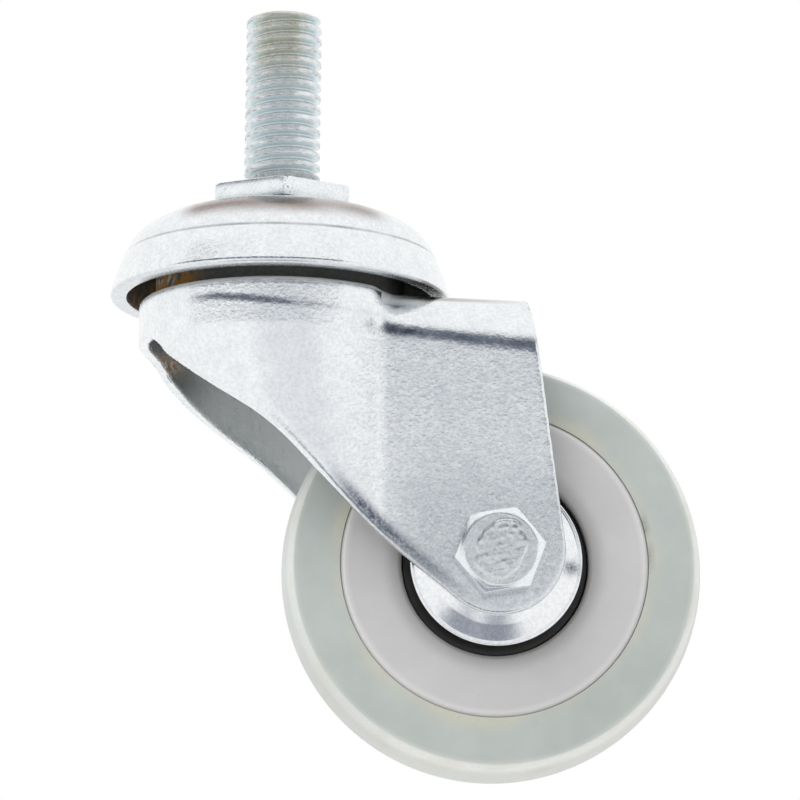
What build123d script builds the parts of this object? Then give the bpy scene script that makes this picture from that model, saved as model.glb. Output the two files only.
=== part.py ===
from build123d import *
import math
import os

os.makedirs("parts", exist_ok=True)

# A small swivel castor with a threaded stem. Sizes in millimetres.
# The origin is on the swivel axis, on the top face of the hexagonal collar.
# +Z runs up the stem, +X points from the stem to the wheel, and the axle lies along Y.
# The near side is the -Y side, with the head of the axle bolt.

# Stem
thread_diameter = 9.6
thread_length = 22.7
thread_end_chamfer = 0.3
collar_across_flats = 16.8
collar_height = 2.4
collar_corner_cut = 0.4
collar_corner_angle = 90.0
kingpin_diameter = 10.0
rivet_diameter = 14.4
rivet_height = 2.0
rivet_edge_radius = 1.2

# Head cover. Its radii step in from the lip
cover_thickness = 1.5
cover_lip_radius = 21.3
cover_lip_drop = 11.0
cover_rim_drop = 11.65
cover_rim_width = 2.0
cover_flare = 1.8
cover_ledge_drop = 6.2
cover_ledge_step = 0.2
cover_corner_inset = 1.3
cover_corner_drop = 3.9
cover_slope_inset = 3.2
cover_slope_drop = 1.8
cover_flat_radius = 7.5

# Swivel balls and their tracks
ball_clearance = 0.05
ball_spacing = 0.31
upper_ball_count = 16
upper_track_inset = 2.6
upper_ball_height = -7.2
lower_ball_diameter = 3.97
lower_ball_count = 12
lower_track_offset = 3.0
track_depth = 0.4

# Lower race
race_thickness = 1.8
race_rim_height = 2.0
race_rim_thickness = 1.3
race_rim_gap = 0.6

# Fork
sheet = 1.5
drum_gap = 2.4
drum_corner_radius = 0.9
crown_hole_clearance = 0.7
crown_step = 2.05
crown_top = -14.7
crown_shoulder_radius = 2.7
crown_front = 12.8
crown_skirt = -20.7
plate_top = -15.3
leg_outside = 27.6
leg_bend_radius = 4.8
leg_bend_growth = 0.1
wall_foot_height = -45.7
wall_foot_centre = 4.6
front_top = 30.6
tip_radius = 8.1
tip_rise = 0.8
tip_forward = 0.15
tip_front_angle = 8.5
tip_rear_angle = 230.0
back_edge = -20.1
axle_hole_clearance = 0.1

# Rear edge of the legs in the side view, from the crown down to the tip
rear_edge = [(-14.6, -23.3), (-8.4, -27.9), (-3.4, -31.2), (1.8, -35.5), (7.3, -41.0), (12.2, -45.7)]

# Axle and wheel position
axle_x = 26.75
axle_z = -48.2
axle_diameter = 6.0
head_across_flats = 9.8
head_height = 4.1
head_face_share = 0.9
head_corner_angle = 10.0
head_dimple_diameter = 5.4
head_dimple_depth = 0.35
nut_across_flats = 10.0
nut_height = 5.0
nut_bore_clearance = 0.02
bolt_end = 1.4
sleeve_diameter = 8.0
sleeve_bore_clearance = 0.1

# Thread guards
guard_radius = 10.6
guard_cone_radius = 10.2
guard_hub_radius = 6.3
guard_thickness = 0.8
guard_rim_stand = 2.2

# Wheel bearings
wheel_ball_diameter = 3.175
wheel_ball_count = 9
wheel_ball_pitch_radius = 6.2
wheel_ball_y = 5.6
cone_radius = 5.3
cone_half_length = 1.6
cup_bore_radius = 7.1
cup_radius = 9.6
cup_half_length = 1.6
cup_flange_radius = 11.5
cup_flange_thickness = 0.8

# Wheel core and tyre
core_radius = 19.0
core_edge_y = 7.45
core_face_y = 8.1
core_face_radius = 18.5
core_recess_edge_radius = 11.9
core_edge_bevel = 0.45
recess_floor_y = 6.2
core_bore_radius = 6.0
tyre_radius = 26.05
tyre_shoulder_radius = 25.05
tyre_shoulder_y = 6.3
tyre_shoulder_round = 0.5

# Values that follow from the ones above
thread_r = thread_diameter / 2
kingpin_r = kingpin_diameter / 2
cover_rim_inner_radius = cover_lip_radius - cover_rim_width
cover_ledge_radius = cover_lip_radius - cover_flare
cover_corner_radius = cover_ledge_radius - cover_corner_inset
cover_slope_radius = cover_corner_radius - cover_slope_inset
drum_radius = cover_ledge_radius - cover_thickness - drum_gap
crown_radius = drum_radius + crown_step
crown_hole_radius = kingpin_r + crown_hole_clearance
upper_track_radius = drum_radius - upper_track_inset
upper_ball_diameter = 2 * upper_track_radius * math.sin(math.pi / upper_ball_count) - ball_spacing
upper_ball_r = upper_ball_diameter / 2
lower_ball_r = lower_ball_diameter / 2
lower_track_radius = kingpin_r + lower_track_offset
race_rim_radius = lower_track_radius + lower_ball_r + race_rim_gap + race_rim_thickness
wheel_ball_r = wheel_ball_diameter / 2
cover_top = -collar_height
cover_rim = cover_top - cover_rim_drop
drum_top = upper_ball_height - upper_ball_r - ball_clearance + track_depth
drum_under = drum_top - sheet
lower_ball_height = drum_under + track_depth - ball_clearance - lower_ball_r
race_top = lower_ball_height - lower_ball_r - ball_clearance + track_depth
race_under = race_top - race_thickness
leg_face = leg_outside / 2
leg_inner = leg_face - sheet
leg_crease = math.sqrt(crown_radius**2 - leg_face**2)
bolt_r = axle_diameter / 2
sleeve_r = sleeve_diameter / 2
guard_top = leg_inner
guard_rim = leg_inner - guard_rim_stand
sleeve_end = guard_top - guard_thickness

axle_plane = Plane(origin=(axle_x, 0, axle_z), x_dir=(1, 0, 0), z_dir=(0, 0, 1))
axle_line = Axis((axle_x, 0, axle_z), (0, 1, 0))
near_face = Plane(origin=(axle_x, -leg_face, axle_z), x_dir=(1, 0, 0), z_dir=(0, -1, 0))
far_face = Plane(origin=(axle_x, leg_face, axle_z), x_dir=(1, 0, 0), z_dir=(0, 1, 0))


# Stem: thread blank, hexagonal collar, kingpin and riveted end
with BuildPart() as stem:
    with BuildSketch(Plane.XY.offset(-collar_height)):
        RegularPolygon(collar_across_flats / 2, 6, major_radius=False, rotation=collar_corner_angle)
    extrude(amount=collar_height)
    with BuildSketch(Plane.XZ):
        with BuildLine():
            chamfer_r = collar_across_flats / math.sqrt(3) - collar_corner_cut
            reach = collar_across_flats
            Polyline(
                (0, 0),
                (chamfer_r, 0),
                (reach, -(reach - chamfer_r) * math.tan(math.radians(30))),
                (reach, -collar_height - 8),
                (0, -collar_height - 8),
                close=True,
            )
        make_face()
    revolve(axis=Axis.Z, mode=Mode.INTERSECT)
    with BuildSketch(Plane.XZ):
        with BuildLine():
            Polyline(
                (0, -1),
                (thread_r, -1),
                (thread_r, thread_length - thread_end_chamfer),
                (thread_r - thread_end_chamfer, thread_length),
                (0, thread_length),
                close=True,
            )
        make_face()
    revolve(axis=Axis.Z)
    with BuildSketch(Plane.XY.offset(race_under)):
        Circle(kingpin_r)
    extrude(amount=-collar_height - race_under + 0.5)
    with BuildSketch(Plane.XZ):
        with BuildLine():
            rivet_r = rivet_diameter / 2
            foot = race_under - rivet_height
            Line((0, race_under), (rivet_r, race_under))
            Line((rivet_r, race_under), (rivet_r, race_under - 0.5))
            Line((rivet_r, race_under - 0.5), (rivet_r - rivet_edge_radius, foot))
            Line((rivet_r - rivet_edge_radius, foot), (0, foot))
            Line((0, foot), (0, race_under))
        make_face()
    revolve(axis=Axis.Z)
stem.part.label = "stem"
export_step(stem.part, "parts/stem.step")


# Head cover: pressed dome with the upper ball track under it
with BuildPart() as head_cover:
    with BuildSketch(Plane.XZ):
        with BuildLine():
            lip_z = cover_top - cover_lip_drop
            ledge_z = cover_top - cover_ledge_drop
            under = cover_top - cover_thickness
            Line((kingpin_r, cover_top), (cover_flat_radius, cover_top))
            Spline(
                (cover_flat_radius, cover_top),
                (cover_slope_radius, cover_top - cover_slope_drop),
                (cover_corner_radius, cover_top - cover_corner_drop),
                (cover_ledge_radius, ledge_z),
                tangents=((1, -0.05), (0.22, -1)),
            )
            Line((cover_ledge_radius, ledge_z), (cover_ledge_radius + cover_ledge_step, ledge_z))
            Spline(
                (cover_ledge_radius + cover_ledge_step, ledge_z),
                (cover_lip_radius - 0.15, lip_z + 0.6),
                (cover_lip_radius, lip_z),
                tangents=((0.26, -1), (0, -1)),
            )
            RadiusArc(
                (cover_lip_radius, lip_z),
                (cover_lip_radius - 0.7, cover_rim),
                0.75,
            )
            Line((cover_lip_radius - 0.7, cover_rim), (cover_rim_inner_radius, cover_rim))
            Spline(
                (cover_rim_inner_radius, cover_rim),
                (cover_ledge_radius - cover_thickness * 0.95, ledge_z - 0.3),
                (
                    cover_corner_radius - cover_thickness * 0.62,
                    cover_top - cover_corner_drop - cover_thickness * 0.72,
                ),
                (
                    cover_slope_radius - cover_thickness * 0.3,
                    cover_top - cover_slope_drop - cover_thickness * 0.95,
                ),
                (cover_flat_radius, under),
                tangents=((-0.2, 1), (-1, 0.05)),
            )
            Line((cover_flat_radius, under), (kingpin_r, under))
            Line((kingpin_r, under), (kingpin_r, cover_top))
        make_face()
    revolve(axis=Axis.Z)
    with BuildSketch(Plane.XZ):
        with Locations((upper_track_radius, upper_ball_height)):
            Circle(upper_ball_r + ball_clearance)
    revolve(axis=Axis.Z, mode=Mode.SUBTRACT)
head_cover.part.label = "head_cover"
export_step(head_cover.part, "parts/head_cover.step")


# Lower race: dished plate under the fork crown, held by the riveted end
with BuildPart() as lower_race:
    with BuildSketch(Plane.XZ):
        with BuildLine():
            rim_in = race_rim_radius - race_rim_thickness
            Polyline(
                (kingpin_r, race_top),
                (rim_in, race_top),
                (rim_in, race_top + race_rim_height),
                (race_rim_radius, race_top + race_rim_height),
                (race_rim_radius, race_under + 0.8),
                (race_rim_radius - 0.8, race_under),
                (kingpin_r, race_under),
                close=True,
            )
        make_face()
    revolve(axis=Axis.Z)
    with BuildSketch(Plane.XZ):
        with Locations((lower_track_radius, lower_ball_height)):
            Circle(lower_ball_r + ball_clearance)
    revolve(axis=Axis.Z, mode=Mode.SUBTRACT)
lower_race.part.label = "lower_race"
export_step(lower_race.part, "parts/lower_race.step")


# Balls of the two swivel rows, evenly spaced round the swivel axis
def swivel_ball(name, diameter, track_radius, height, angle):
    with BuildPart() as ball:
        spot = (
            track_radius * math.cos(angle),
            track_radius * math.sin(angle),
            height,
        )
        with Locations(spot):
            Sphere(diameter / 2)
    ball.part.label = name
    export_step(ball.part, "parts/" + name + ".step")


for index in range(upper_ball_count):
    swivel_ball(
        "upper_ball_%02d" % (index + 1),
        upper_ball_diameter,
        upper_track_radius,
        upper_ball_height,
        math.radians(360 * (index + 0.5) / upper_ball_count),
    )

for index in range(lower_ball_count):
    swivel_ball(
        "lower_ball_%02d" % (index + 1),
        lower_ball_diameter,
        lower_track_radius,
        lower_ball_height,
        math.radians(360 * (index + 0.5) / lower_ball_count),
    )


# Plan outline of the fork walls at one height: an arc round the back, then parallel legs.
# The arc has its centre at centre_x and ends on the legs at leg_crease.
def wall_outline(height, centre_x, inset):
    half = leg_face - inset
    radius = math.hypot(leg_crease - centre_x, leg_face) - inset
    crease = centre_x + math.sqrt(radius * radius - half * half)
    with BuildSketch(Plane.XY.offset(height)) as outline:
        with BuildLine():
            ThreePointArc((crease, half), (centre_x - radius, 0), (crease, -half))
            Line((crease, -half), (front_top + 20, -half))
            Line((front_top + 20, -half), (front_top + 20, half))
            Line((front_top + 20, half), (crease, half))
        make_face()
    return outline.sketch


# Solid that fills the fork walls out to their face, drawn inset for the inside of the sheet
def wall_block(inset):
    with BuildPart() as block:
        add(wall_outline(crown_skirt, 0, inset))
        add(wall_outline(wall_foot_height, wall_foot_centre, inset))
        loft(ruled=True)
        add(wall_outline(wall_foot_height, wall_foot_centre, inset))
        extrude(amount=-12)
    return block.part


# Section of the front channel at one place along X, with the bends between top plate and legs
def channel_section(place, inset):
    half = leg_face - inset
    top = plate_top - inset
    bend = leg_bend_radius + leg_bend_growth * (place - crown_front) - inset
    with BuildSketch(Plane.YZ.offset(place)) as section:
        with BuildLine():
            Line((-half, -60), (-half, top - bend))
            RadiusArc((-half, top - bend), (-half + bend, top), bend)
            Line((-half + bend, top), (half - bend, top))
            RadiusArc((half - bend, top), (half, top - bend), bend)
            Line((half, top - bend), (half, -60))
            Line((half, -60), (-half, -60))
        make_face()
    return section.sketch


# Solid of the front channel, whose bends open out a little towards the front
def channel_block(inset):
    with BuildPart() as block:
        add(channel_section(leg_crease - 5, inset))
        add(channel_section(front_top + 10, inset))
        loft(ruled=True)
    return block.part


# Solid of the round crown with its shoulder, cut off straight at the front
def crown_block(inset):
    with BuildPart() as block:
        with BuildSketch(Plane.XZ):
            with BuildLine():
                radius = crown_radius - inset
                top = crown_top - inset
                shoulder = crown_shoulder_radius - inset * 0.9
                Line((0, crown_skirt), (radius, crown_skirt))
                Line((radius, crown_skirt), (radius, top - shoulder))
                RadiusArc((radius, top - shoulder), (radius - shoulder, top), -shoulder)
                Line((radius - shoulder, top), (0, top))
                Line((0, top), (0, crown_skirt))
            make_face()
        revolve(axis=Axis.Z)
        front = crown_front - inset
        with BuildSketch(Plane.XY.offset(crown_skirt - 1)):
            with Locations((front + 20, 0)):
                Rectangle(40, 60)
        extrude(amount=20, mode=Mode.SUBTRACT)
    return block.part


# Solid of the raised drum that carries the ball tracks
def drum_block(inset):
    with BuildPart() as block:
        with BuildSketch(Plane.XZ):
            with BuildLine():
                radius = drum_radius - inset
                top = drum_top - inset
                corner = max(drum_corner_radius - inset, 0.3)
                Line((0, crown_skirt), (radius, crown_skirt))
                Line((radius, crown_skirt), (radius, top - corner))
                RadiusArc((radius, top - corner), (radius - corner, top), -corner)
                Line((radius - corner, top), (0, top))
                Line((0, top), (0, crown_skirt))
            make_face()
        revolve(axis=Axis.Z)
    return block.part


# Fork: one pressed sheet with drum, crown, converging walls, top plate and legs
with BuildPart() as fork:
    add(wall_block(0))
    add(crown_block(0))
    add(channel_block(0))
    add(drum_block(0))
    add(wall_block(sheet), mode=Mode.SUBTRACT)
    add(crown_block(sheet), mode=Mode.SUBTRACT)
    add(channel_block(sheet), mode=Mode.SUBTRACT)
    add(drum_block(sheet), mode=Mode.SUBTRACT)
    # Side outline of the legs
    with BuildSketch(Plane.XZ):
        with BuildLine():
            tip_x = axle_x + tip_forward
            tip_z = axle_z + tip_rise
            front_turn = math.radians(tip_front_angle)
            rear_turn = math.radians(tip_rear_angle)
            front_point = (tip_x + tip_radius * math.cos(front_turn), tip_z + tip_radius * math.sin(front_turn))
            rear_point = (tip_x + tip_radius * math.cos(rear_turn), tip_z + tip_radius * math.sin(rear_turn))
            low_point = (tip_x, tip_z - tip_radius)
            behind = -crown_radius - 3
            Line((behind, 0), (behind, back_edge))
            Line((behind, back_edge), (-crown_radius, back_edge))
            Spline(
                (-crown_radius, back_edge),
                *rear_edge,
                rear_point,
                tangents=((0.9, -1), (0.77, -0.64)),
            )
            ThreePointArc(rear_point, low_point, front_point)
            Line(front_point, (front_top, plate_top))
            Line((front_top, plate_top), (front_top, 0))
            Line((front_top, 0), (behind, 0))
        make_face()
    extrude(amount=30, both=True, mode=Mode.INTERSECT)
    # Hole for the kingpin and the two ball tracks
    with BuildSketch(Plane.XY.offset(drum_under - 2)):
        Circle(crown_hole_radius)
    extrude(amount=5, mode=Mode.SUBTRACT)
    with BuildSketch(Plane.XZ):
        with Locations((upper_track_radius, upper_ball_height)):
            Circle(upper_ball_r + ball_clearance)
        with Locations((lower_track_radius, lower_ball_height)):
            Circle(lower_ball_r + ball_clearance)
    revolve(axis=Axis.Z, mode=Mode.SUBTRACT)
    # Holes for the axle bolt
    with BuildSketch(near_face):
        Circle(bolt_r + axle_hole_clearance)
    extrude(amount=-leg_outside, mode=Mode.SUBTRACT)
fork.part.label = "fork"
export_step(fork.part, "parts/fork.step")


# Axle bolt: hexagon head on the near side, plain shank to the nut
with BuildPart() as axle_bolt:
    with BuildSketch(near_face):
        RegularPolygon(head_across_flats / 2, 6, major_radius=False, rotation=head_corner_angle)
    extrude(amount=head_height)
    with BuildSketch(axle_plane):
        with BuildLine():
            outer = -leg_face - head_height
            rim = head_across_flats / 2 * head_face_share
            reach = head_across_flats
            Polyline(
                (0, outer),
                (rim, outer),
                (reach, outer + (reach - rim) * math.tan(math.radians(30))),
                (reach, 0),
                (0, 0),
                close=True,
            )
        make_face()
    revolve(axis=axle_line, mode=Mode.INTERSECT)
    with BuildSketch(near_face):
        Circle(bolt_r)
    extrude(amount=-(leg_outside + nut_height + bolt_end))
    with BuildSketch(near_face.offset(head_height)):
        Circle(head_dimple_diameter / 2)
    extrude(amount=-head_dimple_depth, taper=30, mode=Mode.SUBTRACT)
    chamfer(axle_bolt.edges().group_by(Axis.Y)[-1], length=0.6)
axle_bolt.part.label = "axle_bolt"
export_step(axle_bolt.part, "parts/axle_bolt.step")


# Axle nut on the far side
with BuildPart() as axle_nut:
    with BuildSketch(far_face):
        RegularPolygon(nut_across_flats / 2, 6, major_radius=False)
        Circle(bolt_r + nut_bore_clearance, mode=Mode.SUBTRACT)
    extrude(amount=nut_height)
    with BuildSketch(axle_plane):
        with BuildLine():
            outer = leg_face + nut_height
            rim = nut_across_flats / 2 * 0.96
            reach = nut_across_flats
            Polyline(
                (0, outer),
                (rim, outer),
                (reach, outer - (reach - rim) * math.tan(math.radians(30))),
                (reach, 0),
                (0, 0),
                close=True,
            )
        make_face()
    revolve(axis=axle_line, mode=Mode.INTERSECT)
axle_nut.part.label = "axle_nut"
export_step(axle_nut.part, "parts/axle_nut.step")


# Axle sleeve between the two thread guards
with BuildPart() as axle_sleeve:
    with BuildSketch(near_face.offset(sleeve_end - leg_face)):
        Circle(sleeve_r)
        Circle(bolt_r + sleeve_bore_clearance, mode=Mode.SUBTRACT)
    extrude(amount=-2 * sleeve_end)
axle_sleeve.part.label = "axle_sleeve"
export_step(axle_sleeve.part, "parts/axle_sleeve.step")


# Thread guards, bearing cones, ball sets and bearing cups, one of each on both sides
def side_ring(side, points):
    with BuildPart() as ring:
        with BuildSketch(axle_plane):
            with BuildLine():
                Polyline(*[(r, side * y) for r, y in points], close=True)
            make_face()
        revolve(axis=axle_line)
    return ring.part


def ball_groove(side):
    with BuildPart() as groove:
        with BuildSketch(axle_plane):
            with Locations((wheel_ball_pitch_radius, side * wheel_ball_y)):
                Circle(wheel_ball_r + ball_clearance)
        revolve(axis=axle_line)
    return groove.part


guard_bore = bolt_r + sleeve_bore_clearance
guard_points = [
    (guard_bore, guard_top),
    (guard_hub_radius, guard_top),
    (guard_cone_radius, guard_rim),
    (guard_radius, guard_rim),
    (guard_radius, guard_rim - guard_thickness),
    (guard_cone_radius - 0.35, guard_rim - guard_thickness),
    (guard_hub_radius - 0.35, guard_top - guard_thickness),
    (guard_bore, guard_top - guard_thickness),
]
cone_points = [
    (sleeve_r, wheel_ball_y - cone_half_length),
    (cone_radius, wheel_ball_y - cone_half_length),
    (cone_radius, wheel_ball_y + cone_half_length),
    (sleeve_r, wheel_ball_y + cone_half_length),
]
cup_points = [
    (cup_bore_radius, wheel_ball_y - cup_half_length),
    (cup_radius, wheel_ball_y - cup_half_length),
    (cup_radius, recess_floor_y),
    (cup_flange_radius, recess_floor_y),
    (cup_flange_radius, recess_floor_y + cup_flange_thickness),
    (cup_bore_radius, recess_floor_y + cup_flange_thickness),
]

for side, word in ((-1, "near"), (1, "far")):
    with BuildPart() as thread_guard:
        add(side_ring(side, guard_points))
    thread_guard.part.label = "thread_guard_" + word
    export_step(thread_guard.part, "parts/thread_guard_" + word + ".step")

    with BuildPart() as bearing_cone:
        add(side_ring(side, cone_points))
        add(ball_groove(side), mode=Mode.SUBTRACT)
    bearing_cone.part.label = "bearing_cone_" + word
    export_step(bearing_cone.part, "parts/bearing_cone_" + word + ".step")

    with BuildPart() as bearing_cup:
        add(side_ring(side, cup_points))
        add(ball_groove(side), mode=Mode.SUBTRACT)
    bearing_cup.part.label = "bearing_cup_" + word
    export_step(bearing_cup.part, "parts/bearing_cup_" + word + ".step")

    with BuildPart() as bearing_balls:
        for index in range(wheel_ball_count):
            turn = 2 * math.pi * index / wheel_ball_count
            spot = (
                axle_x + wheel_ball_pitch_radius * math.cos(turn),
                side * wheel_ball_y,
                axle_z + wheel_ball_pitch_radius * math.sin(turn),
            )
            with Locations(spot):
                Sphere(wheel_ball_r)
    bearing_balls.part.label = "bearing_balls_" + word
    export_step(bearing_balls.part, "parts/bearing_balls_" + word + ".step")


# Wheel core: moulded disc with a recess on each side
with BuildPart() as wheel_core:
    with BuildSketch(axle_plane):
        with BuildLine():
            web = wheel_ball_y - cup_half_length
            half_profile = [
                (core_bore_radius, web),
                (cup_radius, web),
                (cup_radius, recess_floor_y),
                (cup_flange_radius, recess_floor_y),
                (cup_flange_radius, core_face_y - 0.4),
                (core_recess_edge_radius, core_face_y),
                (core_face_radius, core_edge_y + 0.05),
                (core_radius, core_edge_y + 0.05 - core_edge_bevel),
            ]
            mirrored = [(r, -y) for r, y in reversed(half_profile)]
            Polyline(*half_profile, *mirrored, close=True)
        make_face()
    revolve(axis=axle_line)
wheel_core.part.label = "wheel_core"
export_step(wheel_core.part, "parts/wheel_core.step")


# Tyre: crowned tread, rounded shoulders and slightly coned side walls
with BuildPart() as tyre:
    with BuildSketch(axle_plane):
        with BuildLine():
            side_y = core_edge_y - 0.1
            shoulder_low = (
                tyre_shoulder_radius - tyre_shoulder_round,
                tyre_shoulder_y + tyre_shoulder_round * 0.55,
            )
            shoulder_high = (tyre_shoulder_radius + 0.1, tyre_shoulder_y - tyre_shoulder_round)
            Line((core_radius, -side_y), (core_radius, side_y))
            Line((core_radius, side_y), shoulder_low)
            RadiusArc(shoulder_low, shoulder_high, -tyre_shoulder_round * 1.3)
            ThreePointArc(shoulder_high, (tyre_radius, 0), (shoulder_high[0], -shoulder_high[1]))
            RadiusArc(
                (shoulder_high[0], -shoulder_high[1]),
                (shoulder_low[0], -shoulder_low[1]),
                -tyre_shoulder_round * 1.3,
            )
            Line((shoulder_low[0], -shoulder_low[1]), (core_radius, -side_y))
        make_face()
    revolve(axis=axle_line)
tyre.part.label = "tyre"
export_step(tyre.part, "parts/tyre.step")
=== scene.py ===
import math

import bpy
import numpy as np
from mathutils import Matrix, Vector


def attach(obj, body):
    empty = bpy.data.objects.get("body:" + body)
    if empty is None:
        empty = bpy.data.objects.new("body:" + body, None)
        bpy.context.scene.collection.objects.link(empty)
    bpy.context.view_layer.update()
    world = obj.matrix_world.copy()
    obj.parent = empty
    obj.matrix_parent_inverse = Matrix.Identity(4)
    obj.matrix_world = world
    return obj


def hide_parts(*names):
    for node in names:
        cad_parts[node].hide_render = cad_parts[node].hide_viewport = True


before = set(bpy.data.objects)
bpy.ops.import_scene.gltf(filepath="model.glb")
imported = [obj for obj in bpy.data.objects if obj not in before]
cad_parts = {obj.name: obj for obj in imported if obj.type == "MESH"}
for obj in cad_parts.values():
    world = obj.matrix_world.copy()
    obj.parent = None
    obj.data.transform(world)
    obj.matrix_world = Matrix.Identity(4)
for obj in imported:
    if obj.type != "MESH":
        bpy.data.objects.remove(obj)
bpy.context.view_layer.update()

MM = 0.001

# Sizes in millimetres, in the CAD frame: its origin is on the swivel axis at the top of the collar
CREST = 4.78
ROOT = 4.02
PITCH = 1.5
THREAD_LENGTH = 22.7
COLLAR_ACROSS_FLATS = 16.8
COLLAR_HEIGHT = 2.4
COVER_TOP = -COLLAR_HEIGHT
SHEET = 1.5
CROWN_RADIUS = 17.65
CROWN_TOP = -14.7
CROWN_FRONT = 12.4
PLATE_TOP = -14.72
LEG_FACE = 13.8
BEND_RADIUS = 6.4
BEND_GROWTH = 0.115
DRUM_RADIUS = 15.6
DRUM_TOP = -9.23
UPPER_TRACK = (13.0, -7.2, 2.43)
LOWER_TRACK = (8.0, -12.365, 2.035)
AXLE_X = 26.75
AXLE_Z = -48.2
TIP_RADIUS = 8.1
BOLT_ACROSS_FLATS = 9.8
NUT_ACROSS_FLATS = 10.0


# Patterns
def smooth(edge0, edge1, x):
    """Smooth step from 0 at edge0 to 1 at edge1, also where edge0 is the larger."""
    t = np.clip((x - edge0) / (edge1 - edge0), 0, 1)
    return t * t * (3 - 2 * t)


def bell(x, width):
    """Bell curve: 1 where x is 0, and 1 / e at width on both sides."""
    return np.exp(-(x / width) ** 2)


def waves(p, size, seed):
    """Smooth noise between about -1 and 1: the sum of eight sine waves in random directions, with
    wavelengths near size millimetres."""
    random = np.random.default_rng(seed)
    total = np.zeros(p.shape[:-1])
    for _ in range(8):
        k = random.normal(size=3)
        k *= 2 * math.pi / (size * random.uniform(0.7, 1.6)) / np.linalg.norm(k)
        total += np.sin(p @ k + random.uniform(0, 2 * math.pi))
    return total / 3.2


# Lines and surfaces
def make_piece(name, points, faces, body, replaced, material, marks=None):
    """Mesh object from points in millimetres and a list of arrays of quads or triangles. marks are
    values between 0 and 1 at each point, which the material reads by name."""
    sizes = [np.full(len(f), f.shape[1]) for f in faces]
    loops = np.concatenate([f.reshape(-1) for f in faces]).astype(np.int32)
    totals = np.concatenate(sizes).astype(np.int32)
    starts = np.concatenate([[0], np.cumsum(totals)[:-1]]).astype(np.int32)
    mesh = bpy.data.meshes.new(name)
    mesh.vertices.add(len(points))
    mesh.vertices.foreach_set("co", (points * MM).astype(np.float32).reshape(-1))
    mesh.loops.add(len(loops))
    mesh.loops.foreach_set("vertex_index", loops)
    mesh.polygons.add(len(totals))
    mesh.polygons.foreach_set("loop_start", starts)
    mesh.polygons.foreach_set("loop_total", totals)
    mesh.polygons.foreach_set("use_smooth", np.ones(len(totals), bool))
    mesh.update(calc_edges=True)
    for key, values in (marks or {}).items():
        layer = mesh.attributes.new(key, "FLOAT", "POINT")
        layer.data.foreach_set("value", np.asarray(values, np.float32))
    mesh.materials.append(material)
    piece = bpy.data.objects.new(name, mesh)
    bpy.context.scene.collection.objects.link(piece)
    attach(piece, body)
    if replaced:
        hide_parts(replaced)


def rounded(corners, closed=True, steps=5):
    """Line through corners (x, y, radius), each turned into an arc of that radius, or of a smaller
    one where its sides are short."""
    line = []
    n = len(corners)
    for i, (x, y, radius) in enumerate(corners):
        corner = np.array((x, y), float)
        if radius <= 0 or (not closed and i in (0, n - 1)):
            line.append(corner)
            continue
        before = np.array(corners[i - 1][:2], float) - corner
        after = np.array(corners[(i + 1) % n][:2], float) - corner
        length_before, length_after = np.linalg.norm(before), np.linalg.norm(after)
        before, after = before / length_before, after / length_after
        half = math.acos(np.clip(before @ after, -1, 1)) / 2
        if math.pi / 2 - half < 0.02:
            line.append(corner)
            continue
        reach = min(radius / math.tan(half), length_before * 0.48, length_after * 0.48)
        r = reach * math.tan(half)
        middle = (before + after) / np.linalg.norm(before + after)
        centre = corner + middle * r / math.sin(half)
        start, end = corner + before * reach - centre, corner + after * reach - centre
        first, last = math.atan2(start[1], start[0]), math.atan2(end[1], end[0])
        turn = (last - first + math.pi) % (2 * math.pi) - math.pi
        for t in np.linspace(0, 1, steps + 1):
            angle = first + turn * t
            line.append(centre + r * np.array((math.cos(angle), math.sin(angle))))
    return np.array(line)


def curve(knots, steps):
    """Smooth curve through knots (x, y). Between two knots it is a cubic, whose slope at each of them
    is that of the line between the knots before and after it."""
    k = np.array(knots, float)
    k = np.concatenate([[2 * k[0] - k[1]], k, [2 * k[-1] - k[-2]]])
    t = (np.arange(steps) / steps)[:, None]
    line = []
    for p0, p1, p2, p3 in zip(k, k[1:], k[2:], k[3:]):
        square = (2 * p0 - 5 * p1 + 4 * p2 - p3) * t ** 2
        cube = (3 * p1 - p0 - 3 * p2 + p3) * t ** 3
        line.append(0.5 * (2 * p1 + (p2 - p0) * t + square + cube))
    return np.concatenate(line + [k[-2:-1]])


def refine(line, longest, closed=True):
    """Adds points to a line so that no step is longer than longest."""
    ends = np.roll(line, -1, 0) if closed else line[1:]
    out = []
    for a, b in zip(line, ends):
        n = max(1, int(math.ceil(np.linalg.norm(b - a) / longest)))
        out += [a + (b - a) * i / n for i in range(n)]
    if not closed:
        out.append(line[-1])
    return np.array(out)


def ring_faces(rows, columns, closed=False):
    """Quads between each ring of points and the next. closed joins the last ring to the first."""
    i = np.arange(rows if closed else rows - 1)[:, None]
    j = np.arange(columns)[None]
    k = (j + 1) % columns
    here, there = i * columns, (i + 1) % rows * columns
    return np.stack([here + j, here + k, there + k, there + j], -1).reshape(-1, 4)


def end_fans(start, end, rows, columns):
    """Triangles from the point numbered start to the first ring, and from end to the last ring."""
    j = np.arange(columns)
    k = (j + 1) % columns
    last = (rows - 1) * columns
    first_fan = np.stack([np.full(columns, start), k, j], -1)
    last_fan = np.stack([np.full(columns, end), last + j, last + k], -1)
    return [first_fan, last_fan]


def outward(points, faces):
    """Turns all faces over if the volume that they enclose comes out negative."""
    volume = 0.0
    for f in faces:
        p = points[f]
        for k in range(1, f.shape[1] - 1):
            volume += np.einsum("ij,ij->i", p[:, 0], np.cross(p[:, k], p[:, k + 1])).sum()
    if volume < 0:
        faces = [f[:, ::-1].copy() for f in faces]
    return points, faces


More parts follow.
